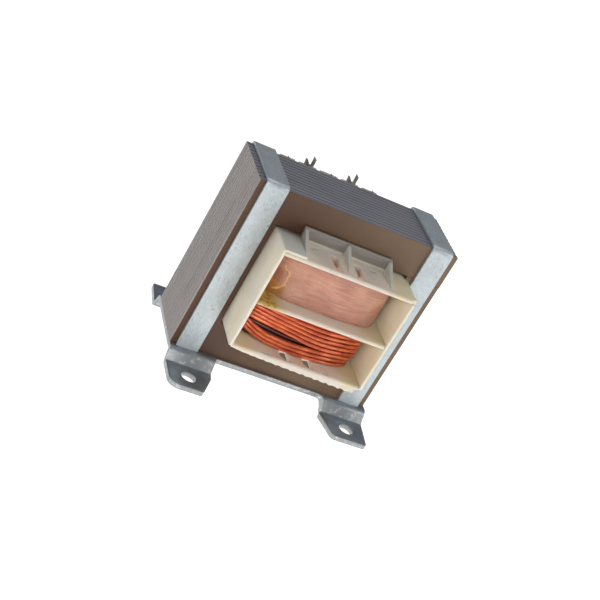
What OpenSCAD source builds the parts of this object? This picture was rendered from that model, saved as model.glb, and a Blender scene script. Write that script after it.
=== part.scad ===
// Chassis transformer: an interleaved E and I core under two clamp straps, on a plate with four
// joggled feet, round a two-chamber bobbin with a thick and a fine winding.
// X runs across the front, Y to the back and Z up. The origin is the middle of the four
// mounting holes, on the face that the feet stand on.

/* [Core] */
// Width of the lamination stack, three limbs wide
stack_w = 66; // [64:0.5:70]
// Height of the lamination stack
stack_h = 57; // [54:0.5:60]
// Width of an outer limb, of a yoke and of a window
limb_w = 11; // [10.5:0.1:11.5]
// Thickness of one sheet
sheet_t = 0.5; // [0.35:0.05:0.65]
// Sheets that face the same way before the order is turned
pack_sheets = 4; // [2:1:6]
// Number of packs, turned about one after the other
packs = 12; // [8:2:14]
// How far single sheets stand out of line
stagger = 0.12; // [0.04:0.02:0.2]

/* [Base plate] */
// Sheet thickness of the plate
plate_t = 1.5; // [1:0.1:2]
// Width of the plate
plate_w = 66.4; // [64:0.2:72]
// Drop from the plate to the feet
joggle = 3.8; // [3:0.1:6]
// Hole spacing across
hole_pitch_x = 53; // [50:0.5:56]
// Hole spacing from front to back
hole_pitch_y = 42.8; // [41:0.2:46]
// Diameter of a mounting hole, for an M4 screw
hole_d = 4.8; // [4.2:0.1:5.5]

/* [Straps] */
// Width of a clamp strap
strap_w = 7; // [5:0.5:9]
// Thickness of a clamp strap
strap_t = 1; // [0.8:0.1:1.2]
// Distance from the side of the stack to a strap
strap_inset = 2; // [1:0.5:3]

/* [Bobbin] */
// How far the flanges stand out of the front and back of the core
flange_reach = 13.4; // [12:0.2:16]
// Thickness of a flange
flange_t = 1.4; // [1:0.1:1.8]
// Height of the lower chamber
lower_h = 14; // [12:0.5:16]
// Wall of the tube round the middle limb
tube_wall = 1.2; // [0.8:0.1:1.5]
// Thickness of the side shields
shield_t = 0.8; // [0.5:0.1:1]

/* [Windings] */
// Diameter of the thick enamelled wire
thick_wire = 1.22; // [1:0.02:1.25]
// Turns of thick wire side by side
thick_turns = 11; // [9:1:11]
// Diameter of the fine enamelled wire
fine_wire = 0.36; // [0.2:0.02:0.5]
// How far the thick winding stands out of the front of the core
thick_reach = 8.8; // [7:0.1:9]
// How far the fine winding stands out of the front of the core
fine_reach = 8; // [6:0.1:8.6]

/* [Lugs] */
// Spacing of the solder lugs
lug_pitch = 7.5; // [7:0.1:8]
// Width of a lug
lug_w = 3.4; // [3:0.1:4]
// Thickness of a lug
lug_t = 0.6; // [0.5:0.05:0.8]

/* [Hidden] */
$fn = 96;
eps = 0.01;

// Core: the stack stands on the plate, a little to the left of the middle of the holes
stack_d = packs * pack_sheets * sheet_t;
front = -stack_d / 2;
stack_z = plate_t + joggle;
stack_shift = -0.4;
core_gap = 0.2;
e_height = stack_h - limb_w;
window_h = stack_h - 2 * limb_w;
// one leg in the fifth pack has sprung away from its neighbour
split_pack = 4;
split_w = 0.16;
split_depth = 1.2;

// Plate: bends of the joggle, with the radius on the inside of each bend
bend_r = 0.5;
bend_angle = 65;
bend_steps = 8;
plate_front = front - strap_t;
mid_r = bend_r + plate_t / 2;
slope_len = (joggle - 2 * mid_r * (1 - cos(bend_angle))) / sin(bend_angle);
foot_start = plate_front - 2 * mid_r * sin(bend_angle) - slope_len * cos(bend_angle);
foot_end = -hole_pitch_y / 2 - 5.8;
plate_side = plate_w / 2;
// widths of the round-cornered foot at the plate, half way out and at its end
round_root = 15;
round_pad = 14.3;
round_tip = 10.8;
round_corner = 3.5;
// widths of the other foot at its neck, past the joggle and at its end
neck_w = 14.3;
broad_pad = 15.3;
broad_tip = 12.6;
outer_slant = 0.9;
neck_fillet = 3;
edge_corner = 0.8;
// corners of the front half of the plate as it lies, from the left side to the right side
front_corners = [
    [-plate_side, foot_end, round_corner],
    [-plate_side + round_tip, foot_end, edge_corner],
    [-plate_side + round_pad, foot_start - 2.6, 0],
    [-plate_side + round_root, plate_front, edge_corner],
    [plate_side - neck_w, plate_front, neck_fillet],
    [plate_side - neck_w, plate_front - neck_fillet - 0.1, 0],
    [plate_side - broad_pad, foot_start - 0.8, edge_corner],
    [plate_side - broad_tip, foot_end, 2 * edge_corner],
    [plate_side - outer_slant, foot_end, edge_corner],
    [plate_side, foot_start, 0]
];

// Straps
strap_x = stack_w / 2 - strap_inset - strap_w / 2;
strap_corner_r = 1.8;
tab_w = 4;
tab_len = 3.4;
slot_gap = 0.1;

// Bobbin
window_gap = 0.8;
bobbin_h = window_h - 2 * window_gap;
bobbin_z = limb_w + window_gap;
tube_x = limb_w + core_gap + tube_wall;
tube_y = stack_d / 2 + core_gap + tube_wall;
shield_out = 2 * limb_w - 0.1;
flange_x = shield_out - shield_t;
flange_y = stack_d / 2 + flange_reach;
mid_z = bobbin_z + flange_t + lower_h;
top_z = bobbin_z + bobbin_h - flange_t;
nose_r = flange_t / 2 - 0.03;
upper_z = mid_z + flange_t;
upper_h = top_z - upper_z;
// openings for wire: where they lie, and how wide and long they are
slot_x = 3.8;
slot_y = front - 8.4;
slot_w = 2.4;
slot_len = 9;
half_r = 3.4;
slit_x = 9.8;
slit_shift = -0.5;
slit_w = 2.3;
slit_len = 1.2;
// flash that the mould left under the front edge of the lowest flange
flash_t = 0.5;
flash_drop = 1.7;
flash_steps = 40;
pocket_wall = 0.8;
pocket_h = 4.2;
rib_pitch = 14;
rib_t = 0.9;
rib_reach = 10.3;
rail_t = 3.6;
rail_back = flange_y - 0.8;
rail_h = 7.7;
rail_x = 17.2;
rail_top = bobbin_z + bobbin_h + rail_h;

// Windings
winding_x = flange_x - 0.6;
thick_pitch = lower_h / thick_turns;
thick_corner = 4.5;
fine_corner = 7.5;
thick_bow = 20;
fine_bow = 8;
side_bow = 8;
tape_t = 0.12;
lead_w = 0.6;
layer_gap = 0.2;
// a ball at a bend is this much thicker than its wire, and a soldered end stops this far from a lug
ball = 1.06;
solder_gap = 0.03;

// Lugs
lug_y = rail_back - 1;
lug_depth = 6;
tall_tip = 3.8;
short_tip = 2.25;
fork_z = 0.7;
sunk = 3;
joint_z = rail_top - 2.4;

function two(k) = k < 10 ? str("0", k) : str(k);

function unit(v) = v / norm(v);

// Points along the rounding of radius r at corner p, between the sides to a and b
function corner_points(p, a, b, r, steps = 8) = r == 0 ? [p] :
    let (u = unit(a - p), v = unit(b - p), half = acos(u * v) / 2, turn = 180 - 2 * half,
        c = p + unit(u + v) * r / sin(half), from = unit(p + u * r / tan(half) - c),
        to = unit(p + v * r / tan(half) - c))
    [for (i = [0 : steps])
        c + r * (from * sin(turn * (1 - i / steps)) + to * sin(turn * i / steps)) / sin(turn)];

// An outline from corners given as [x, y, rounding]
function rounded(corners) =
    let (n = len(corners), at = [for (c = corners) [c[0], c[1]]])
    [for (i = [0 : n - 1])
        each corner_points(at[i], at[(i + n - 1) % n], at[(i + 1) % n], corners[i][2])];

// Points on an arc about c
function arc(c, r, from, to, steps) =
    [for (i = [0 : steps]) let (t = from + (to - from) * i / steps) c + r * [cos(t), sin(t)]];

// The stack's own frame: X from its middle, Z from its underside
module on_stack() translate([stack_shift, 0, stack_z]) children();

// A flat outline drawn in X and Z, from y to y + t
module upright(y, t) translate([0, y + t, 0]) rotate([90, 0, 0]) linear_extrude(t) children();

// A flat outline drawn in Y and Z, w wide about x
module sideways(x, w) translate([x - w / 2, 0, 0]) rotate([90, 0, 90]) linear_extrude(w) children();

// ---- core ----

// Sheet number i stands out of line by a few hundredths of a millimetre
function jog_x(i) = stagger * ((i * 7) % 5 - 2) / 4;
function jog_z(i) = stagger * ((i * 3) % 4) / 3;

module e_outline() {
    difference() {
        translate([-stack_w / 2, 0]) square([stack_w, e_height]);
        for (side = [-1, 1])
            translate([side * limb_w * 3 / 2 - limb_w / 2, limb_w]) square([limb_w, window_h + 1]);
    }
}

module i_outline() translate([-stack_w / 2, e_height]) square([stack_w, limb_w]);

// Odd packs have the I bar at the bottom, and even ones at the top
module turned(k) {
    if (k % 2 == 0) children();
    else translate([0, stack_h]) mirror([0, 1]) children();
}

module e_pack(k) {
    color([0.33, 0.27, 0.22]) on_stack() difference() {
        for (s = [0 : pack_sheets - 1]) {
            i = k * pack_sheets + s;
            upright(front + i * sheet_t, sheet_t)
                translate([jog_x(i), jog_z(i)]) turned(k) e_outline();
        }
        if (k == split_pack)
            translate([-stack_w / 2 - 1, front + (k * pack_sheets + 1) * sheet_t - split_w / 2, limb_w + 1])
                cube([1 + split_depth, split_w, window_h - 2]);
    }
}

module i_pack(k) {
    color([0.37, 0.30, 0.24]) on_stack()
        for (s = [0 : pack_sheets - 1]) {
            i = k * pack_sheets + s;
            upright(front + i * sheet_t, sheet_t)
                translate([jog_x(i + 2), jog_z(i)]) turned(k) i_outline();
        }
}

// ---- base plate ----

// Side of the plate at its front: from the plate's face through both bends to the foot's end, on
// the surface that lies d above the middle of the sheet
function joggle_points(d) =
    let (tilt = 90 + bend_angle)
    concat(arc([plate_front, joggle - bend_r], mid_r + d, 90, tilt, bend_steps),
        arc([foot_start, plate_t + bend_r], mid_r - d, tilt - 180, -90, bend_steps),
        [[foot_end, plate_t / 2 + d]]);

function flipped(points) = [for (i = [len(points) - 1 : -1 : 0]) [-points[i][0], points[i][1]]];

module plate_profile() {
    over = joggle_points(plate_t / 2);
    under = joggle_points(-plate_t / 2);
    polygon(concat(over, [for (i = [len(under) - 1 : -1 : 0]) under[i]],
        [for (p = under) [-p[0], p[1]]], flipped(over)));
}

// The back half is the front half turned about the middle
module plate_outline()
    polygon(rounded(concat(front_corners, [for (c = front_corners) [-c[0], -c[1], c[2]]])));

module hole_places() {
    for (x = [-1, 1], y = [-1, 1]) translate([x * hole_pitch_x / 2, y * hole_pitch_y / 2]) children();
}

module base_plate() {
    color([0.50, 0.54, 0.57]) difference() {
        intersection() {
            sideways(0, plate_w + 2) plate_profile();
            linear_extrude(stack_z + 1) plate_outline();
        }
        hole_places() translate([0, 0, -1]) cylinder(d = hole_d, h = plate_t + 2);
        for (x = [-1, 1], y = [-1, 1])
            translate([stack_shift + x * strap_x, y * (front - strap_t / 2), joggle + plate_t / 2])
                cube([tab_w + 2 * slot_gap, strap_t + 2 * slot_gap, plate_t + 2], center = true);
    }
}

// ---- straps ----

module strap_profile(top) {
    difference() {
        union() {
            translate([plate_front, 0]) square([-2 * plate_front, top - strap_corner_r + strap_t]);
            translate([plate_front + strap_corner_r, 0])
                square([-2 * (plate_front + strap_corner_r), top + strap_t]);
            for (y = [-1, 1])
                translate([y * (-plate_front - strap_corner_r), top + strap_t - strap_corner_r])
                    circle(strap_corner_r);
        }
        translate([front, -1]) square([stack_d, top + 1]);
    }
}

// The tab passes through the plate and is folded in under it
module tab_profile() {
    translate([plate_front, -plate_t]) square([strap_t, plate_t + eps]);
    translate([plate_front + strap_t, -plate_t]) difference() {
        circle(strap_t);
        translate([0, -5]) square(10);
        translate([-5, 0]) square(10);
    }
    translate([plate_front + strap_t - eps, -plate_t - strap_t]) square([tab_len, strap_t]);
}

module strap(side) {
    color([0.74, 0.76, 0.76]) on_stack() {
        sideways(side * strap_x, strap_w) strap_profile(stack_h + stagger);
        sideways(side * strap_x, tab_w) {
            tab_profile();
            mirror([1, 0]) tab_profile();
        }
    }
}

// ---- bobbin ----

// An opening with round ends, long from front to back
module slot(w, len) {
    square([w, len - w], center = true);
    for (y = [-1, 1]) translate([0, y * (len - w) / 2]) circle(d = w);
}

// An opening with a straight side on the right and a round one on the left
module half_round(r) translate([r / 2, 0]) intersection() {
    circle(r);
    translate([-r - 1, -r]) square([r + 1, 2 * r]);
}

// Holes for wire ends in one half of a flange, half round ones in the lowest
module wire_holes(lowest) {
    for (x = [-1, 1]) {
        translate([x * slot_x, slot_y]) {
            if (lowest) translate([0, -1]) half_round(half_r);
            else slot(slot_w, slot_len);
        }
        translate([x * slit_x + slit_shift - slit_w / 2, front - (lowest ? 12.8 : 4.7)])
            square([slit_w, slit_len]);
    }
}

// A flange with round edges. The middle one lets wire through behind the core only.
module flange(z, lowest = false, front_holes = true) {
    translate([0, 0, z]) difference() {
        union() {
            linear_extrude(flange_t) square([2 * flange_x, 2 * (flange_y - nose_r)], center = true);
            for (y = [-1, 1]) translate([0, y * (flange_y - nose_r), flange_t / 2]) {
                rotate([0, 90, 0]) cylinder(r = nose_r, h = 2 * (flange_x - nose_r), center = true);
                for (x = [-1, 1]) translate([x * (flange_x - nose_r), 0, 0]) sphere(nose_r);
            }
        }
        translate([0, 0, -1]) linear_extrude(flange_t + 2) {
            if (front_holes) wire_holes(lowest);
            rotate(180) wire_holes(lowest);
        }
    }
}

// Thin ragged skin that hangs from the front edge of the lowest flange, deeper to the right
module flash() {
    left = -flange_x + 1;
    span = 2 * flange_x - 2;
    upright(-flange_y + nose_r, flash_t) polygon(concat(
        [[left + span, bobbin_z + flange_t / 2], [left, bobbin_z + flange_t / 2]],
        [for (i = [0 : flash_steps]) let (k = i / flash_steps)
            [left + span * k, bobbin_z - flash_drop * sqrt(k) * (0.85 + 0.15 * sin(i * 137))]]));
}

// Wall and three gusset ribs that keep the wire ends off the core
module pocket() {
    base = bobbin_z + bobbin_h - eps;
    upright(front - 0.5 - pocket_wall, pocket_wall)
        polygon([[-rib_pitch - rib_t / 2, base], [rib_pitch + rib_t / 2 + 2.6, base],
            [rib_pitch + rib_t / 2, base + pocket_h], [-rib_pitch - rib_t / 2, base + pocket_h]]);
    for (x = [-1, 0, 1]) sideways(x * rib_pitch, rib_t)
        polygon([[front - 0.6, base], [front - 0.6, base + pocket_h - 0.2],
            [front - 1.4, base + pocket_h - 0.2], [front - rib_reach - 0.9, base]]);
}

// Rail behind the core that holds the solder lugs, open towards the core where a wire comes in
module lug_rail() {
    rail_front = rail_back - rail_t;
    difference() {
        translate([-rail_x, rail_front, bobbin_z + bobbin_h - eps])
            cube([2 * rail_x, rail_t, rail_h + eps]);
        for (k = [-2 : 2]) translate([k * lug_pitch, 0, 0]) {
            translate([0, lug_y, rail_top - lug_depth - 0.1])
                linear_extrude(lug_depth + 1) square([lug_w + 0.1, lug_t + 0.1], center = true);
            translate([0, lug_y, rail_top - sunk])
                linear_extrude(sunk + 1) square([lug_w + 0.7, lug_t + 0.1], center = true);
            translate([-1, rail_front - 1, joint_z - 1]) cube([2, lug_y - rail_front + 1, 5]);
        }
        for (k = [-2 : 1]) translate([(k + 0.5) * lug_pitch, rail_back + 1, rail_top + 0.2])
            rotate([90, 0, 0]) cylinder(d = 1.6, h = rail_t + 2);
    }
}

module bobbin() {
    color([0.80, 0.77, 0.68]) on_stack() {
        difference() {
            union() {
                translate([-tube_x, -tube_y, bobbin_z]) cube([2 * tube_x, 2 * tube_y, bobbin_h]);
                flange(bobbin_z, lowest = true);
                flange(mid_z, front_holes = false);
                flange(top_z);
                for (s = [0, 1]) mirror([0, s])
                    translate([flange_x - 1, -flange_y + 0.8, top_z + 0.05])
                        cube([2, flange_reach - 1.1, flange_t - 0.1]);
            }
            translate([-tube_x + tube_wall, -tube_y + tube_wall, 0])
                cube([2 * (tube_x - tube_wall), 2 * (tube_y - tube_wall), stack_h]);
        }
        flash();
        pocket();
        lug_rail();
    }
}

// ---- side shields ----

// Upright plate beside the coil, from the lower flange to the upper one
module shield_outline(top) {
    corner = 0.8;
    difference() {
        translate([-flange_y, bobbin_z + 0.4]) square([2 * flange_y, top - bobbin_z - 0.4]);
        for (y = [-1, 1]) translate([y * (flange_y - corner), bobbin_z + 0.4 + corner]) difference() {
            translate([y > 0 ? 0 : -2 * corner, -2 * corner]) square(2 * corner);
            circle(corner);
        }
    }
}

// The left shield folds over the top flange, outside the window
module left_shield() {
    top = top_z + flange_t;
    lip_w = 7.2;
    color([0.72, 0.69, 0.62]) on_stack() {
        sideways(-shield_out + shield_t / 2, shield_t) shield_outline(top);
        for (s = [0, 1]) mirror([0, s]) {
            translate([-shield_out + shield_t, -flange_y, top])
                cube([lip_w - shield_t, flange_reach - 0.4, shield_t]);
            translate([-shield_out + shield_t, -flange_y, top]) rotate([-90, 0, 0])
                intersection() {
                    cylinder(r = shield_t, h = flange_reach - 0.4);
                    translate([-5, -5, 0]) cube([5, 5, flange_reach]);
                }
        }
    }
}

module right_shield() {
    color([0.74, 0.71, 0.63]) on_stack()
        sideways(shield_out - shield_t / 2, shield_t) shield_outline(top_z);
}

// ---- windings ----

// Outline of a coil seen from above, bowed out between rounded corners: half width a, half depth
// b, corner radius r, and the angles that the front and the side turn before a corner takes over
module loop_outline(a, b, r, front_angle, side_angle) {
    p = a - r * (cos(side_angle) - sin(front_angle));
    q = b - r * (cos(front_angle) - sin(side_angle));
    d = sin(front_angle) * sin(side_angle) - (1 - cos(side_angle)) * (1 - cos(front_angle));
    rf = (p * sin(side_angle) - q * (1 - cos(side_angle))) / d;
    rs = (q * sin(front_angle) - p * (1 - cos(front_angle))) / d;
    c = [(rf - r) * sin(front_angle), (rs - r) * sin(side_angle)];
    quarter = concat(arc([a - rs, 0], rs, 0, side_angle, 3),
        arc(c, r, side_angle, 90 - front_angle, 8),
        arc([0, b - rf], rf, 90 - front_angle, 90, 5));
    half = concat(quarter, [for (i = [len(quarter) - 2 : -1 : 0]) [-quarter[i][0], quarter[i][1]]]);
    polygon(concat(half, [for (i = [len(half) - 2 : -1 : 1]) [half[i][0], -half[i][1]]]));
}

// A round wire through the given points, with a ball a little thicker than the wire at each bend
module wire(points, d) {
    $fn = 32;
    for (i = [0 : len(points) - 2]) {
        run = points[i + 1] - points[i];
        translate(points[i]) {
            sphere(d = ball * d);
            rotate([0, acos(run[2] / norm(run)), atan2(run[1], run[0])]) cylinder(d = d, h = norm(run));
        }
    }
    translate(points[len(points) - 1]) sphere(d = ball * d);
}

module thick_outline(grow)
    loop_outline(winding_x + grow, stack_d / 2 + thick_reach + grow, thick_corner + grow,
        thick_bow, side_bow);

module fine_outline(grow)
    loop_outline(winding_x + grow, stack_d / 2 + fine_reach + grow, fine_corner + grow, fine_bow, side_bow);

// The outermost turns lie side by side on the layers below them. Each turn is drawn as a narrow
// band with a wider one a little behind it.
module secondary_winding() {
    rise_y = stack_d / 2 + fine_reach + thick_wire - 0.25;
    end_y = lug_y - lug_t / 2 - ball / 2 * thick_wire - solder_gap;
    color([0.78, 0.40, 0.22]) on_stack() {
        translate([0, 0, bobbin_z + flange_t]) difference() {
            union() {
                translate([0, 0, layer_gap]) linear_extrude(lower_h - 2 * layer_gap)
                    thick_outline(-thick_wire / 2);
                for (i = [0 : thick_turns - 1]) translate([0, 0, (i + 0.5) * thick_pitch])
                    for (band = [[0, 0.5], [-0.13, 0.88]])
                        linear_extrude(band[1] * thick_wire, center = true)
                            thick_outline(band[0] * thick_wire);
            }
            cube([2 * tube_x, 2 * tube_y, 3 * lower_h], center = true);
        }
        for (x = [-1, 1]) wire([[x * slot_x, rise_y - 3, mid_z - 4], [x * slot_x, rise_y, mid_z - 1.5],
            [x * slot_x, rise_y, top_z + 0.5], [x * (slot_x + 0.4), rise_y - 1.3, top_z + 3.5],
            [x * lug_pitch, rise_y - 1.3, joint_z - 0.6], [x * lug_pitch, end_y, joint_z]], thick_wire);
    }
}

module primary_winding() {
    end_y = lug_y - lug_t / 2 - ball / 2 * lead_w - solder_gap;
    slit_y = stack_d / 2 + 4.2;
    color([0.80, 0.56, 0.47]) on_stack() {
        translate([0, 0, upper_z]) linear_extrude(upper_h) difference() {
            fine_outline(0);
            square([2 * tube_x, 2 * tube_y], center = true);
        }
        for (x = [-1, 1]) wire([[x * slit_x, slit_y, top_z - 1], [x * slit_x, slit_y, top_z + 2.5],
            [x * 2 * lug_pitch, rail_back - rail_t - 1.6, joint_z - 1],
            [x * 2 * lug_pitch, end_y, joint_z]], lead_w);
    }
}

module primary_tape() {
    color([0.85, 0.72, 0.60]) on_stack() translate([0, 0, upper_z + 0.3])
        linear_extrude(upper_h - 0.6) difference() {
            fine_outline(tape_t);
            fine_outline(0);
        }
}

// ---- solder lugs ----

// Flat tail in the rail and a forked top, its right prong the longer and its left one leaning out
module lug_outline() {
    half = lug_w / 2;
    polygon([[-half, -lug_depth], [half, -lug_depth], [half, -0.2], [half - 0.25, 0.4],
        [half - 0.3, tall_tip - 1], [0.15, tall_tip], [0.3, fork_z],
        [-0.1, fork_z], [-half + 0.5, short_tip - 0.25], [-half - 0.3, short_tip], [-half - 0.05, 0.2]]);
}

// Lugs second from each end stand up, and the tips of the others are level with the rail
module lug(k) {
    down = abs(k) == 1 ? 0 : sunk;
    color([0.70, 0.71, 0.68]) on_stack() intersection() {
        translate([k * lug_pitch, 0, rail_top - down]) upright(lug_y - lug_t / 2, lug_t) lug_outline();
        translate([-stack_w / 2, 0, rail_top - lug_depth]) cube([stack_w, stack_w, 2 * lug_depth]);
    }
}

base_plate();
strap(-1);  // left_strap
strap(1);  // right_strap
for (k = [1 : packs]) {
    e_pack(k - 1);
    i_pack(k - 1);
}
bobbin();
left_shield();
right_shield();
primary_winding();
primary_tape();
secondary_winding();
for (k = [1 : 5]) lug(k - 3);
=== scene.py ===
# %% [markdown]
# # A laminated chassis transformer
# The real object is a stack of thin steel sheets round a plastic bobbin. Two zinc straps clamp the
# stack to a plate with four feet. The bobbin has two rooms: the lower one holds thick enamelled
# wire, and the upper one fine wire under clear tape. The CAD model gives every rigid shape, and
# this lesson dresses it: it rounds the edges of the stampings, winds the wire and makes finishes.

# %% Load the frame
import math

import bmesh
import bpy
import numpy as np
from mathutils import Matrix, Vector


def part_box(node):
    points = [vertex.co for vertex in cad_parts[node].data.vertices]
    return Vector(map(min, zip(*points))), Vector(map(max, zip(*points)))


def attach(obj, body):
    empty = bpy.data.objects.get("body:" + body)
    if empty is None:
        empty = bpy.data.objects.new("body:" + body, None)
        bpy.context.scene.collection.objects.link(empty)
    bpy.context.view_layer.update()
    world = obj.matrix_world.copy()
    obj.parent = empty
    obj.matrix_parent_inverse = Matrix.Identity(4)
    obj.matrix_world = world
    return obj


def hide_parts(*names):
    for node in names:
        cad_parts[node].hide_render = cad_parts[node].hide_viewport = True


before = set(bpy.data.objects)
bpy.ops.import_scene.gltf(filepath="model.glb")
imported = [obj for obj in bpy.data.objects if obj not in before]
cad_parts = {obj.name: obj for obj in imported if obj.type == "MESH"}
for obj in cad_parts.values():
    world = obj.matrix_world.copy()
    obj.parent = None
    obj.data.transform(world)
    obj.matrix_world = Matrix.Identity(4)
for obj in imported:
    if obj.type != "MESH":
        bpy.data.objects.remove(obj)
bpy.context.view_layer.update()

MM = 0.001

# %% [markdown]
# ## Shader maths as Python
# A finish is easier to read when its maths is written as an expression. `Value` wraps one socket,
# so that `1 - mask * 0.5` adds the Math nodes. `Finish` holds a material, adds any other node with
# one method, and measures positions in millimetres, because grain and scratches are that size.

# %% A socket that does sums
class Value:
    def __init__(self, finish, socket):
        self.finish, self.socket = finish, socket

    def _sum(self, operation, first, second):
        return self.finish.node("ShaderNodeMath", {"operation": operation}, {0: first, 1: second})

    def __add__(self, other):
        return self._sum("ADD", self, other)

    def __sub__(self, other):
        return self._sum("SUBTRACT", self, other)

    def __rsub__(self, other):
        return self._sum("SUBTRACT", other, self)

    def __mul__(self, other):
        return self._sum("MULTIPLY", self, other)

    __radd__, __rmul__ = __add__, __mul__


# %% A material and its nodes
class Finish:
    def __init__(self, name, **constants):
        self.material = bpy.data.materials.new(name)
        self.material.use_nodes = True
        self.tree = self.material.node_tree
        self.shader = self.tree.nodes["Principled BSDF"]
        for socket, value in constants.items():
            self.shader.inputs[socket.replace("_", " ")].default_value = value
        print("finish:", name)

    def node(self, kind, settings=None, sockets=None, out=0):
        made = self.tree.nodes.new(kind)
        for key, value in (settings or {}).items():
            setattr(made, key, value)
        for key, value in (sockets or {}).items():
            self.feed(made.inputs[key], value)
        return Value(self, made.outputs[out])

    def feed(self, socket, value):
        if isinstance(value, Value):
            self.tree.links.new(value.socket, socket)
        elif socket.type == "VECTOR":
            socket.default_value = value[:3]
        else:
            socket.default_value = value

    def set(self, name, value):
        self.feed(self.shader.inputs[name], value)

    def place(self, stretch=(1, 1, 1)):
        """The point's place in millimetres, stretched for grain that runs one way."""
        here = self.node("ShaderNodeTexCoord", out="Object")
        return self.node("ShaderNodeVectorMath", {"operation": "MULTIPLY"},
                         {0: here, 1: [s / MM for s in stretch]})

    def along(self, axis):
        return self.node("ShaderNodeSeparateXYZ", sockets={0: self.place()}, out=axis)

    def noise(self, scale, detail=2.0, stretch=(1, 1, 1), roughness=0.5):
        return self.node("ShaderNodeTexNoise", sockets={
            "Vector": self.place(stretch), "Scale": scale, "Detail": detail, "Roughness": roughness})

    def step(self, value, low, high):
        """0 below low, 1 above high and smooth between them."""
        return self.node("ShaderNodeMapRange", {"interpolation_type": "SMOOTHSTEP"},
                         {"Value": value, "From Min": low, "From Max": high})

    def band(self, value, low, high, soft):
        """1 between low and high, and 0 outside them."""
        return self.step(value, low - soft, low) * (1 - self.step(value, high, high + soft))

    def mix(self, factor, first, second):
        return self.node("ShaderNodeMix", {"data_type": "RGBA"}, {0: factor, 6: first, 7: second}, out=2)

    def shade(self, colour, amount):
        """A colour made darker or lighter by a value near 1."""
        return self.node("ShaderNodeVectorMath", {"operation": "SCALE"}, {0: colour, "Scale": amount})

    def bump(self, height, distance, strength=1.0):
        self.set("Normal", self.node("ShaderNodeBump", sockets={
            "Height": height, "Distance": distance * MM, "Strength": strength}))


def colour(red, green, blue):
    """A colour picked on screen, from 0 to 255, as linear light."""
    def linear(v):
        v /= 255
        return v / 12.92 if v <= 0.04045 else ((v + 0.055) / 1.055) ** 2.4
    return (linear(red), linear(green), linear(blue), 1.0)


# %% [markdown]
# ## Varnished core steel
# A sheet's flat faces are brown with baked varnish, and its cut edges are bare grey steel. One
# finish serves both: the surface normal tells a face from an edge. On the edges each 0.5 mm sheet
# gets its own grey, fine streaks run along it, and a dark line marks where two sheets meet.

# %% Core steel finish
SHEET = 0.5
core_low, core_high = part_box("e_pack_01")
joint_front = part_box("i_pack_01")[0].z / MM
joint_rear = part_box("i_pack_12")[1].z / MM
sprung_y = sum(v.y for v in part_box("e_pack_05")) / 2 / MM - SHEET


def core_finish(name, brown):
    steel = Finish(name, Coat_Weight=0.12, Coat_Roughness=0.3)
    normal = steel.node("ShaderNodeNewGeometry", out="Normal")
    facing = steel.node("ShaderNodeSeparateXYZ", sockets={0: normal}, out="Y")
    up = steel.node("ShaderNodeSeparateXYZ", sockets={0: normal}, out="Z")
    face = steel.step(steel.node("ShaderNodeMath", {"operation": "ABSOLUTE"}, {0: facing}), 0.5, 0.9)
    x, y, z = steel.along("X"), steel.along("Y"), steel.along("Z")
    sheet = y * (1 / SHEET) + 48.0
    number = steel.node("ShaderNodeMath", {"operation": "FLOOR"}, {0: sheet})
    tone = steel.node("ShaderNodeTexWhiteNoise", {"noise_dimensions": "1D"}, {"W": number})
    inside = steel.node("ShaderNodeMath", {"operation": "FRACT"}, {0: sheet})
    off_middle = steel.node("ShaderNodeMath", {"operation": "ABSOLUTE"}, {0: inside - 0.5})
    seam = steel.step(off_middle, 0.36, 0.5) * steel.step(tone, 0.6, 0.95)
    streaks = steel.noise(1.0, 4.0, (0.05, 4.0, 0.05), 0.7)
    broad = steel.noise(1.0, 2.0, (0.03, 0.7, 0.03))
    patches = steel.noise(0.09, 3.0)
    # Painted light: the top edges of the stack are painted lighter and bluer than the side edges.
    side = steel.mix(patches, colour(132, 128, 125), colour(146, 143, 142))
    top_edge_painted_light = steel.mix(patches, colour(152, 152, 160), colour(170, 171, 180))
    grey = steel.shade(steel.mix(steel.step(up, 0.3, 0.7), side, top_edge_painted_light),
                       0.44 + tone * 0.1 + streaks * 0.75 + broad * 0.24 - seam * 0.25)
    # Painted shade: the sprung gap between two sheets on the left side is painted dark, and cut into the
    # bump.
    split = steel.band(y, sprung_y - 0.16, sprung_y + 0.16, 0.08) * (
        1 - steel.step(x, -20.0, -19.0)) * steel.band(z, 17.5, 50.0, 1.5)
    mottle = steel.noise(0.14, 4.0, (1, 1, 0.6))
    dull = steel.noise(1.6, 3.0)
    joint = steel.band(z, joint_front - 0.08, joint_front + 0.08, 0.12) * (1 - steel.step(y, 0, 1)) + (
        steel.band(z, joint_rear - 0.08, joint_rear + 0.08, 0.12) * steel.step(y, 0, 1))
    # Painted highlight: a light tan line along the front-left edge, where the sheets' burr catches the light.
    burr_highlight = (1 - steel.step(x, -33.28, -33.05)) * (0.3 + dull * 0.7)
    # Painted sheen: the brown faces turn lighter towards the right.
    sheen_to_right = steel.mix(steel.step(x, -26.0, 26.0), brown, colour(110, 86, 62))
    varnish = steel.shade(sheen_to_right, 0.66 + mottle * 0.5 + dull * 0.16 - joint * 0.5)
    varnish = steel.mix(burr_highlight, varnish, colour(186, 168, 152))
    steel.set("Base Color", steel.shade(steel.mix(face, grey, varnish), 1 - split * 0.85))
    steel.set("Metallic", 0.6 - face * 0.5)
    steel.set("Roughness", 0.4 + tone * 0.1 + mottle * 0.14)
    steel.bump(streaks * 0.7 - seam - split, 0.03, 0.6)
    return steel.material


core_e = core_finish("varnished E sheets", colour(78, 48, 26))
core_i = core_finish("varnished I sheets", colour(82, 52, 30))

# %% [markdown]
# ## Zinc
# The straps are hot-dip coated: pale, with a fine spangle and small dark specks where the skin has
# dulled. The plate is plated thinner and smoother, so it is bluer and darker with soft clouds.

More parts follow.
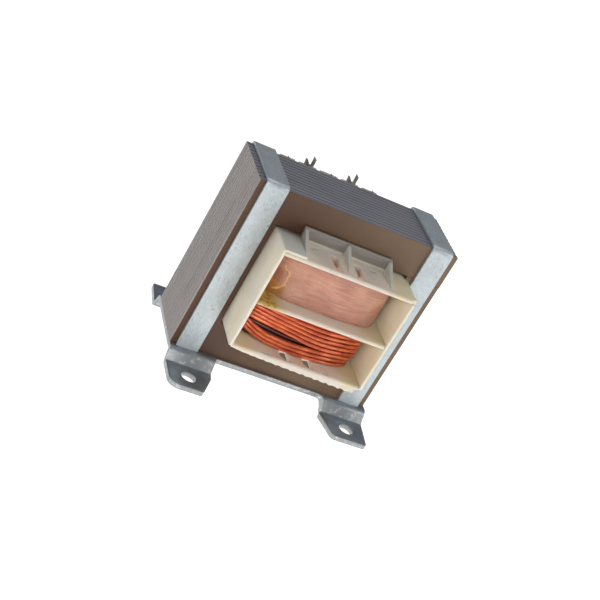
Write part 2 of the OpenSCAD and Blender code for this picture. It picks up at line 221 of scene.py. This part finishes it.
# %% Zinc finishes
def strap_finish():
    zinc = Finish("spangled zinc", Metallic=0.5)
    spangle = zinc.node("ShaderNodeTexVoronoi", sockets={
        "Vector": zinc.place((1, 1, 0.7)), "Scale": 1.3}, out="Color")
    tone = zinc.node("ShaderNodeSeparateXYZ", sockets={0: spangle}, out="X")
    specks = zinc.step(zinc.noise(2.0, 3.0, (1, 1, 0.6), 0.75), 0.57, 0.7)
    marks = zinc.step(zinc.noise(0.8, 4.0, (1.6, 1.6, 0.6), 0.7), 0.58, 0.7)
    clouds = zinc.noise(0.16, 3.0)
    pale = zinc.mix(clouds, colour(176, 184, 188), colour(200, 206, 206))
    zinc.set("Base Color", zinc.shade(pale, 0.92 + tone * 0.14 - specks * 0.42 - marks * 0.26))
    zinc.set("Roughness", 0.4 + tone * 0.08 + specks * 0.2)
    zinc.bump(tone * 0.3 - specks, 0.03, 0.6)
    return zinc.material


def plate_finish():
    zinc = Finish("plated sheet", Metallic=0.75)
    clouds = zinc.noise(0.28, 4.0, (1, 1, 1), 0.6)
    grain = zinc.noise(3.0, 3.0)
    rubbed = zinc.step(zinc.noise(0.7, 5.0, (1, 1, 1), 0.7), 0.52, 0.68)
    normal = zinc.node("ShaderNodeNewGeometry", out="Normal")
    up = zinc.node("ShaderNodeSeparateXYZ", sockets={0: normal}, out="Z")
    edge = 1 - zinc.step(zinc.node("ShaderNodeMath", {"operation": "ABSOLUTE"}, {0: up}), 0.3, 0.9)
    flat = zinc.mix(clouds, colour(128, 138, 146), colour(168, 174, 180))
    # Bare sheared steel with a painted highlight: faces that don't face up or down are painted lighter, and
    # lighter still where rubbed.
    sheared_and_highlit = zinc.mix(rubbed, colour(156, 158, 158), colour(206, 206, 202))
    zinc.set("Base Color", zinc.shade(zinc.mix(edge, flat, sheared_and_highlit), 0.92 + grain * 0.14 + rubbed * 0.12))
    zinc.set("Roughness", 0.34 + clouds * 0.14 + rubbed * 0.12)
    zinc.bump(grain + clouds, 0.02, 0.5)
    return zinc.material


zinc_strap, zinc_plate = strap_finish(), plate_finish()

# %% [markdown]
# ## Natural nylon
# The bobbin and its shields are unpigmented nylon, so light goes a little way in. Thick places look
# cream, and handling leaves it slightly yellow. Painted shade turns the thin walls in front of the dark
# core grey and the flanges yellower near the side walls, and painted light shows the winding's pink.

# %% Nylon finishes
chamber = 14.0
mid_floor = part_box("primary_tape")[0].z / MM - 0.3
low_floor = mid_floor - 1.4 - chamber
top_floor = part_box("left_shield")[1].z / MM - 0.8


def nylon_finish(name, cream):
    nylon = Finish(name, Subsurface_Weight=0.5, Subsurface_Scale=0.003, Coat_Weight=0.1)
    nylon.shader.inputs["Subsurface Radius"].default_value = (1.0, 0.85, 0.62)
    x, y, z = nylon.along("X"), nylon.along("Y"), nylon.along("Z")
    olive = nylon.step(nylon.noise(0.16, 3.0), 0.4, 0.66)
    flow = nylon.noise(0.8, 3.0, (0.35, 1, 1))
    corner = nylon.step(nylon.node("ShaderNodeMath", {"operation": "ABSOLUTE"}, {0: x + 0.4}), 12.0, 17.0)
    normal = nylon.node("ShaderNodeNewGeometry", out="Normal")
    flat = nylon.step(nylon.node("ShaderNodeSeparateXYZ", sockets={0: normal}, out="Z"), 0.3, 0.8)
    # The flange fronts below the top floor get painted light, pinkish from the winding showing through the
    # nylon, and painted shade near the side walls, which turns them yellower.
    shelf = (1 - nylon.step(z, top_floor - 0.1, top_floor + 0.5)) * (1 - nylon.step(y, -15.0, -13.0))
    base = nylon.mix(olive * 0.35, cream, colour(206, 192, 152))
    base = nylon.mix(shelf * (1 - corner) * 0.6, base, colour(208, 196, 186))
    base = nylon.mix(shelf * corner * flat * 0.5, base, colour(204, 190, 140))
    # Painted shade: the walls inside the top pocket are painted dark grey, for the shade there and for the
    # dark core behind the thin nylon.
    pocket_wall_shade = nylon.step(z, top_floor + 0.4, top_floor + 1.0) * nylon.step(y, -15.2, -13.2) * (
        1 - nylon.step(y, -3.0, 0.0))
    base = nylon.mix(pocket_wall_shade * 0.85, base, colour(112, 106, 104))
    rib = nylon.step(z, top_floor + 0.4, top_floor + 1.0) * (1 - nylon.step(y, -14.2, -13.4))
    base = nylon.mix(rib * 0.7, base, colour(176, 180, 178))
    return nylon, base, flow, (x, y, z)


def bobbin_finish():
    nylon, base, flow, (x, y, z) = nylon_finish("bobbin nylon", colour(212, 202, 182))
    spread = nylon.noise(0.9, 4.0, (1, 1, 1), 0.65)
    near = nylon.band(z, mid_floor - 0.9, mid_floor + 0.4, 0.3) * (1 - nylon.step(y, -15.0, -12.0))
    left = 1 - nylon.step(x + spread * 5.0, -15.0, -8.0)
    base = nylon.mix(near * left * 0.85, base, colour(176, 154, 74))
    drip = nylon.step(spread + near * left * 0.25, 0.72, 0.8) * near * left
    base = nylon.mix(drip, base, colour(170, 104, 20))
    nylon.set("Base Color", nylon.shade(base, 0.92 + flow * 0.14))
    nylon.set("Roughness", 0.34 + flow * 0.2)
    nylon.bump(flow, 0.04, 0.5)
    return nylon.material


def shield_finish():
    nylon, base, flow, _ = nylon_finish("shield nylon", colour(218, 208, 190))
    nylon.set("Base Color", nylon.shade(base, 0.94 + flow * 0.1))
    nylon.set("Roughness", 0.36 + flow * 0.2)
    nylon.bump(flow, 0.03, 0.4)
    return nylon.material


nylon_bobbin, nylon_shield = bobbin_finish(), shield_finish()

# %% [markdown]
# ## Enamelled copper, tape and tin
# The thick wire's enamel is deep orange and glossy. The fine wire looks pinker, because its clear
# tape scatters light, and old adhesive leaves amber patches on the tape near one end.

# %% Copper finishes
def wire_finish(name, bright, deep, roughness, across):
    wire = Finish(name, Metallic=0.35, IOR=1.5, Coat_Weight=0.6, Coat_Roughness=0.18)
    along = wire.noise(0.22, 3.0, (1, 1, across), 0.6)
    spots = wire.noise(2.2, 2.0)
    wire.set("Base Color", wire.shade(wire.mix(wire.step(along, 0.3, 0.7), deep, bright), 0.84 + spots * 0.3))
    wire.set("Roughness", roughness + spots * 0.12)
    return wire.material


thick_copper = wire_finish("thick enamelled wire", colour(232, 118, 64), colour(180, 66, 28), 0.26, 3.0)
# Painted shade: the inner layers are painted a deep, dark red for the shade in the gap behind the outer
# turns.
shaded_inner_copper = wire_finish("inner layers of wire in painted shade", colour(96, 24, 10), colour(60, 10, 4), 0.4, 2.0)
fine_copper = wire_finish("fine enamelled wire", colour(246, 172, 136), colour(186, 106, 78), 0.3, 7.0)

# %% Tape and tin finishes
def tape_finish():
    tape = Finish("clear tape", Roughness=0.28, IOR=1.45)
    x, y, z = tape.along("X"), tape.along("Y"), tape.along("Z")
    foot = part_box("primary_tape")[0].z / MM
    front = 1 - tape.step(y, -14.0, -12.0)
    ragged = tape.noise(0.5, 4.0, (1, 1, 1), 0.6)
    dx, dz = x + 18.4, z - 39.6
    far = tape.node("ShaderNodeMath", {"operation": "SQRT"}, {0: dx * dx + dz * dz}) + ragged * 2.2
    curl = tape.band(far, 5.3, 5.6, 0.18) * tape.step(x, -17.2, -16.2) * front
    glue = (1 - tape.step(far + ragged * 2.0, 4.2, 7.0)) * front
    low_glue = (1 - tape.step(z - ragged * 5.0, foot, foot + 2.0)) * (1 - tape.step(x, -15.0, -11.0)) * front
    haze = tape.noise(0.2, 3.0)
    streak = tape.noise(1.0, 3.0, (0.05, 0.05, 2.4), 0.65)
    edge = tape.band(x, 18.35, 18.7, 0.1) * front
    pale = tape.mix(tape.step(haze, 0.35, 0.65), colour(214, 164, 144), colour(232, 186, 160))
    tone = tape.mix(glue * 0.8, pale, colour(160, 92, 48))
    tone = tape.mix(low_glue * 0.9, tone, colour(172, 112, 40))
    tone = tape.mix(curl, tone, colour(214, 160, 92))
    tape.set("Base Color", tape.mix(edge, tone, colour(226, 208, 176)))
    clear = 0.2 + haze * 0.16 + streak * 0.1
    tape.set("Alpha", clear + glue * 0.35 + curl * 0.5 + low_glue * 0.4 + edge * 0.6)
    tape.bump(haze * 2.0 + curl, 0.08, 0.6)
    return tape.material


def lug_finish():
    tin = Finish("tinned lug", Metallic=0.8)
    dull = tin.noise(1.4, 3.0)
    tin.set("Base Color", tin.mix(dull, colour(150, 152, 144), colour(222, 222, 214)))
    tin.set("Roughness", 0.22 + dull * 0.25)
    tin.bump(dull, 0.04, 0.5)
    return tin.material


clear_tape, lug_tin = tape_finish(), lug_finish()

# %% [markdown]
# ## Stampings with worn edges
# CAD edges are perfectly sharp, and a sharp edge catches no light. A punched or moulded edge has a
# small round, so each stamping is a welded copy of its CAD node with a narrow bevel. The bevel only
# takes edges that turn more than 30 degrees, so it leaves the facets of a bend alone.

# %% Round the edges of a CAD piece
def plain_mesh(worker, name):
    """The evaluated result of an object, as a new object with no modifiers."""
    bpy.context.view_layer.update()
    shown = worker.evaluated_get(bpy.context.evaluated_depsgraph_get())
    mesh = bpy.data.meshes.new_from_object(shown)
    made = bpy.data.objects.new(name, mesh)
    bpy.context.scene.collection.objects.link(made)
    bpy.data.objects.remove(worker)
    return made


def smooth_by_angle(obj, degrees):
    obj.data.polygons.foreach_set("use_smooth", [True] * len(obj.data.polygons))
    obj.data.set_sharp_from_angle(angle=math.radians(degrees))


def rounded_copy(node, name, radius, material):
    shape = bmesh.new()
    shape.from_mesh(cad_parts[node].data)
    bmesh.ops.remove_doubles(shape, verts=shape.verts, dist=2e-6)
    bmesh.ops.dissolve_limit(shape, angle_limit=math.radians(0.5), verts=shape.verts, edges=shape.edges)
    mesh = bpy.data.meshes.new(name + " welded")
    shape.to_mesh(mesh)
    shape.free()
    worker = bpy.data.objects.new(name + " worker", mesh)
    bpy.context.scene.collection.objects.link(worker)
    bevel = worker.modifiers.new("round", "BEVEL")
    bevel.width, bevel.segments = radius * MM, 2
    bevel.limit_method, bevel.angle_limit = "ANGLE", math.radians(30)
    bevel.use_clamp_overlap = True
    piece = plain_mesh(worker, name)
    piece.data.materials.clear()
    piece.data.materials.append(material)
    smooth_by_angle(piece, 35)
    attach(piece, "root")
    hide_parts(node)
    print(name, len(piece.data.polygons), "faces")
    return piece


rounded_copy("base_plate", "mounting_plate", 0.16, zinc_plate)
rounded_copy("left_strap", "left_clamp", 0.14, zinc_strap)
rounded_copy("right_strap", "right_clamp", 0.14, zinc_strap)
rounded_copy("left_shield", "left_side_shield", 0.12, nylon_shield)
rounded_copy("right_shield", "right_side_shield", 0.12, nylon_shield)
rounded_copy("bobbin", "moulded_bobbin", 0.1, nylon_bobbin)
for number in range(1, 6):
    rounded_copy(f"lug_{number}", f"solder_lug_{number}", 0.08, lug_tin)

# %% Dress the CAD nodes that stay
def dress(node, material):
    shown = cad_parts[node]
    shown.data.materials.clear()
    shown.data.materials.append(material)


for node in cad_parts:
    if node.startswith("e_pack"):
        dress(node, core_e)
    elif node.startswith("i_pack"):
        dress(node, core_i)
dress("primary_tape", clear_tape)
print("dressed", len(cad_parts), "nodes")

# %% [markdown]
# ## The path of a coil
# Seen from above, a turn bows out at the front and sides and has round corners, because thick wire
# won't lie flat on a square tube. Eight arcs that meet smoothly give that outline. A coil is that
# outline followed many times while the height climbs, with each climb kept to the back.

# %% Outline of one turn
def turn_outline(half_width, half_depth, corner, front_deg, side_deg, points):
    """Points evenly spaced along the turn, starting and ending at the middle of the back."""
    f, s = math.radians(front_deg), math.radians(side_deg)
    p = half_width - corner * (math.cos(s) - math.sin(f))
    q = half_depth - corner * (math.cos(f) - math.sin(s))
    d = math.sin(f) * math.sin(s) - (1 - math.cos(s)) * (1 - math.cos(f))
    rf = (p * math.sin(s) - q * (1 - math.cos(s))) / d
    rs = (q * math.sin(f) - p * (1 - math.cos(f))) / d
    quarter = []
    for cx, cy, radius, start, stop in (
            (0, half_depth - rf, rf, math.pi / 2, math.pi / 2 - f),
            ((rf - corner) * math.sin(f), (rs - corner) * math.sin(s), corner, math.pi / 2 - f, s),
            (half_width - rs, 0, rs, s, 0)):
        for t in np.linspace(start, stop, 40):
            quarter.append((cx + radius * math.cos(t), cy + radius * math.sin(t)))
    right = np.array(quarter)
    right = np.vstack([right, right[::-1] * (1, -1)])
    ring = np.vstack([right, right[::-1] * (-1, 1)])
    length = np.concatenate([[0], np.cumsum(np.hypot(*np.diff(ring, axis=0).T))])
    places = np.linspace(0, length[-1], points, endpoint=False)
    return np.column_stack([np.interp(places, length, ring[:, k]) for k in (0, 1)])


def rise(share):
    """How much of a turn's climb is done: all of it near the middle of the back."""
    t = np.clip((share - 0.86) / 0.14, 0, 1)
    return t * t * (3 - 2 * t)


# %% [markdown]
# ## Winding the wire with Geometry Nodes
# The path is a plain curve, and the tree sweeps a circle along it. Noise moves the path a few
# hundredths of a millimetre first, because no hand-fed coil is perfect. The wire's radius, its
# sides, the noise and its seed are named inputs, so one tree winds both coils.

# %% The wire tree
def group(name, inputs):
    tree = bpy.data.node_groups.new(name, "GeometryNodeTree")
    tree.interface.new_socket("Geometry", in_out="INPUT", socket_type="NodeSocketGeometry")
    for label, kind, value in inputs:
        socket = tree.interface.new_socket(label, in_out="INPUT", socket_type=kind)
        if value is not None:
            socket.default_value = value
    tree.interface.new_socket("Geometry", in_out="OUTPUT", socket_type="NodeSocketGeometry")
    return tree


def add(tree, kind, settings=None, sockets=None):
    made = tree.nodes.new(kind)
    for key, value in (settings or {}).items():
        setattr(made, key, value)
    for key, value in (sockets or {}).items():
        if isinstance(value, bpy.types.NodeSocket):
            tree.links.new(value, made.inputs[key])
        else:
            made.inputs[key].default_value = value
    return made


def wire_tree():
    tree = group("Wind wire", [
        ("Wire radius", "NodeSocketFloat", 0.0006), ("Sides", "NodeSocketInt", 8),
        ("Unevenness", "NodeSocketFloat", 0.00005), ("Seed", "NodeSocketInt", 1),
        ("Finish", "NodeSocketMaterial", None)])
    given = add(tree, "NodeGroupInput").outputs
    here = add(tree, "GeometryNodeInputPosition").outputs[0]
    noise = add(tree, "ShaderNodeTexNoise", {"noise_dimensions": "4D"},
                {"Vector": here, "W": given["Seed"], "Scale": 160.0, "Detail": 1.0})
    centred = add(tree, "ShaderNodeVectorMath", {"operation": "SUBTRACT"},
                  {0: noise.outputs["Color"], 1: (0.5, 0.5, 0.5)})
    shift = add(tree, "ShaderNodeVectorMath", {"operation": "SCALE"},
                {0: centred.outputs[0], "Scale": given["Unevenness"]})
    moved = add(tree, "GeometryNodeSetPosition", sockets={
        "Geometry": given["Geometry"], "Offset": shift.outputs[0]})
    ring = add(tree, "GeometryNodeCurvePrimitiveCircle", sockets={
        "Resolution": given["Sides"], "Radius": given["Wire radius"]})
    swept = add(tree, "GeometryNodeCurveToMesh", sockets={
        "Curve": moved.outputs[0], "Profile Curve": ring.outputs[0], "Fill Caps": True})
    smooth = add(tree, "GeometryNodeSetShadeSmooth", sockets={"Geometry": swept.outputs[0]})
    whole = add(tree, "GeometryNodeRealizeInstances", sockets={"Geometry": smooth.outputs[0]})
    coated = add(tree, "GeometryNodeSetMaterial", sockets={
        "Geometry": whole.outputs[0], "Material": given["Finish"]})
    out = add(tree, "NodeGroupOutput")
    tree.links.new(coated.outputs[0], out.inputs[0])
    return tree


WIRE = wire_tree()

# %% Run a tree on a path
def follow_path(name, points, tree, values):
    """A poly curve through the points in millimetres, turned into a mesh by the tree."""
    data = bpy.data.curves.new(name + " path", "CURVE")
    data.dimensions = "3D"
    spline = data.splines.new("POLY")
    spline.points.add(len(points) - 1)
    flat = np.column_stack([np.array(points) * MM, np.ones(len(points))]).ravel()
    spline.points.foreach_set("co", flat)
    worker = bpy.data.objects.new(name + " worker", data)
    bpy.context.scene.collection.objects.link(worker)
    run = worker.modifiers.new("wind", "NODES")
    run.node_group = tree
    keys = {s.name: s.identifier for s in tree.interface.items_tree if s.in_out == "INPUT"}
    for label, value in values.items():
        run[keys[label]] = value
    return plain_mesh(worker, name)


# %% [markdown]
# ## The thick winding
# Ten turns lie in the outer layer. The lowest three sit on the flange and the others are pushed up,
# which leaves a dark wedge where the layer below shows. That layer is wound too, in a red painted dark
# as shade, so there is real wire in the gap.

# %% Wind the thick wire
thick_r = 0.59
shift_x = (core_low.x + core_high.x) / 2 / MM
thick_width = 20.5
thick_depth = 20.8
lower_group = 3


def smooth(v, low, high):
    t = min(max((v - low) / (high - low), 0), 1)
    return t * t * (3 - 2 * t)


def thick_layer(sunk, turns, start, wedged):
    points = []
    ring = turn_outline(thick_width - thick_r - sunk, thick_depth - thick_r - sunk,
                        4.5 - thick_r, 20, 8, 128)
    spare = chamber - 2 * thick_r * turns - 2 * start
    for turn in range(turns):
        for k, (x, y) in enumerate(ring):
            climb = turn + rise(k / len(ring)) if turn < turns - 1 else turn
            z = 2 * thick_r * climb
            front = smooth(-y, 2.0, 12.0)
            even = climb / (turns - 1)
            if wedged:
                group = smooth(climb, lower_group - 1, lower_group)
                lifted = smooth(-x, 10.0, 20.5) * front
                wedge = smooth(-x, -7.0, 9.0) * front * (1 - lifted)
                z += spare * (even * (1 - wedge - lifted) + group * wedge + lifted)
                pinch = smooth(x, 12.0, 18.0) * front * (1 - smooth(climb, 1.0, 2.5))
                x, y = x - 0.7 * pinch, y + 0.3 * pinch
            else:
                z += spare * even
            points.append((x + shift_x, y, low_floor + start + thick_r + z))
    return points


def coil(name, points, radius, sides, uneven, seed, material, node):
    piece = follow_path(name, points, WIRE, {
        "Wire radius": radius * MM, "Sides": sides, "Unevenness": uneven * MM, "Seed": seed,
        "Finish": material})
    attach(piece, "root")
    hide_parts(node)
    print(name, len(piece.data.polygons), "faces")
    return piece


coil("thick_turns", thick_layer(0, 10, 0.05, True), thick_r, 12, 0.2, 3, thick_copper,
     "secondary_winding")
# The layer below wears the dark red of painted shade.
coil("thick_turns_below", thick_layer(1.05, 11, 0.2, False), thick_r, 8, 0.1, 5, shaded_inner_copper,
     "secondary_winding")

# %% [markdown]
# ## The fine winding
# Forty turns of thin wire lie side by side. Under the tape they show as fine lines, so they are
# real wire too, each with six sides.

# %% Wind the fine wire
fine_low = mid_floor
fine_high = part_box("primary_tape")[1].z / MM + 0.3
fine_pitch = 0.37


def fine_layer():
    ring = turn_outline(20.5 - fine_pitch / 2, 20.0 - fine_pitch / 2, 7.5 - fine_pitch / 2, 8, 8, 88)
    turns = int((fine_high - fine_low) / fine_pitch)
    points = []
    for turn in range(turns):
        for k, (x, y) in enumerate(ring):
            climb = turn + rise(k / len(ring)) if turn < turns - 1 else turn
            points.append((x + shift_x, y, fine_low + fine_pitch * (climb + 0.5)))
    return points


coil("fine_turns", fine_layer(), fine_pitch / 2, 6, 0.07, 7, fine_copper, "primary_winding")

# %% Solid layers behind the wire
def loop_block(name, ring, low, high, material, node):
    """A closed block with the outline of a coil, behind the wire that shows."""
    shape = bmesh.new()
    bottom = [shape.verts.new(((x + shift_x) * MM, y * MM, low * MM)) for x, y in ring]
    face = shape.faces.new(bottom)
    made = bmesh.ops.extrude_face_region(shape, geom=[face])
    up = [v for v in made["geom"] if isinstance(v, bmesh.types.BMVert)]
    bmesh.ops.translate(shape, verts=up, vec=(0, 0, (high - low) * MM))
    bmesh.ops.recalc_face_normals(shape, faces=shape.faces)
    mesh = bpy.data.meshes.new(name)
    shape.to_mesh(mesh)
    shape.free()
    block = bpy.data.objects.new(name, mesh)
    bpy.context.scene.collection.objects.link(block)
    block.data.materials.append(material)
    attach(block, "root")
    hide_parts(node)
    return block


# The solid inner layers wear the dark red of painted shade, which makes the gaps between turns dark.
loop_block("thick_layers_inside", turn_outline(18.8, 19.1, 3.0, 20, 8, 96), low_floor + 0.1,
           low_floor + chamber - 0.1, shaded_inner_copper, "secondary_winding")
loop_block("fine_layers_inside", turn_outline(20.2, 19.7, 7.2, 8, 8, 96), fine_low + 0.02,
           fine_high - 0.02, fine_copper, "primary_winding")

# %% [markdown]
# ## Stage, light and camera
# A plain pale floor and soft light keep attention on the part. The camera stands in front and to
# the left, a little above, and is rolled, which shows both windings and the stack's edges at once.

# %% Floor
mesh = bpy.data.meshes.new("floor")
reach = 6.0
mesh.from_pydata([(-reach, -reach, 0), (reach, -reach, 0), (reach, reach, 0), (-reach, reach, 0)],
                 [], [(0, 1, 2, 3)])
floor = bpy.data.objects.new("floor", mesh)
bpy.context.scene.collection.objects.link(floor)
pale = Finish("pale floor", Roughness=0.9, Emission_Strength=0.85)
pale.set("Base Color", pale.mix(pale.noise(0.01, 1.0), (0.93, 0.93, 0.93, 1), (0.96, 0.96, 0.96, 1)))
floor.data.materials.append(pale.material)

# %% Lights
def soft_light(name, place, target, size, power):
    data = bpy.data.lights.new(name, "AREA")
    data.shape, data.size, data.energy = "DISK", size, power
    lamp = bpy.data.objects.new(name, data)
    lamp.location = place
    lamp.rotation_euler = (Vector(target) - Vector(place)).to_track_quat("-Z", "Y").to_euler()
    bpy.context.scene.collection.objects.link(lamp)


soft_light("key", (-0.3, -0.9, 0.5), (0, 0, 0.03), 0.5, 4.0)
soft_light("side", (0.8, -0.5, 0.5), (0, 0, 0.03), 0.5, 2.2)
soft_light("above", (0.1, 0.2, 1.1), (0, 0, 0.03), 0.8, 2.6)
world = bpy.data.worlds.new("studio")
world.use_nodes = True
sky = world.node_tree
ramp = sky.nodes.new("ShaderNodeValToRGB")
ramp.color_ramp.elements[0].position, ramp.color_ramp.elements[0].color = 0.45, (1, 1, 1, 1)
ramp.color_ramp.elements[1].position, ramp.color_ramp.elements[1].color = 0.8, (0.3, 0.36, 0.46, 1)
split = sky.nodes.new("ShaderNodeSeparateXYZ")
half = sky.nodes.new("ShaderNodeMath")
half.operation = "MULTIPLY_ADD"
half.inputs[1].default_value, half.inputs[2].default_value = 0.5, 0.5
sky.links.new(sky.nodes.new("ShaderNodeTexCoord").outputs["Generated"], split.inputs[0])
sky.links.new(split.outputs["Z"], half.inputs[0])
sky.links.new(half.outputs[0], ramp.inputs[0])
sky.links.new(ramp.outputs[0], sky.nodes["Background"].inputs["Color"])
sky.nodes["Background"].inputs["Strength"].default_value = 0.3
bpy.context.scene.world = world
bpy.context.scene.view_settings.view_transform = "Standard"

# %% Camera
def aim(azimuth, elevation, roll, distance, target, lens, film=36.0):
    """A camera at a distance from a target, where azimuth turns it to the left of the front."""
    a, e = math.radians(azimuth), math.radians(elevation)
    away = Vector((-math.sin(a) * math.cos(e), -math.cos(a) * math.cos(e), math.sin(e)))
    data = bpy.data.cameras.new("camera")
    data.lens, data.sensor_width = lens, film
    camera = bpy.data.objects.new("camera", data)
    camera.rotation_euler = (-away).to_track_quat("-Z", "Y").to_euler()
    camera.location = Vector(target) + away * distance
    camera.rotation_euler.rotate_axis("Z", math.radians(roll))
    bpy.context.scene.collection.objects.link(camera)
    bpy.context.scene.camera = camera


aim(
    azimuth=25.458,
    elevation=23.184,
    roll=30.891,
    distance=0.42424,
    target=(0.000674, -0.001645, 0.027208),
    lens=85.34,
)
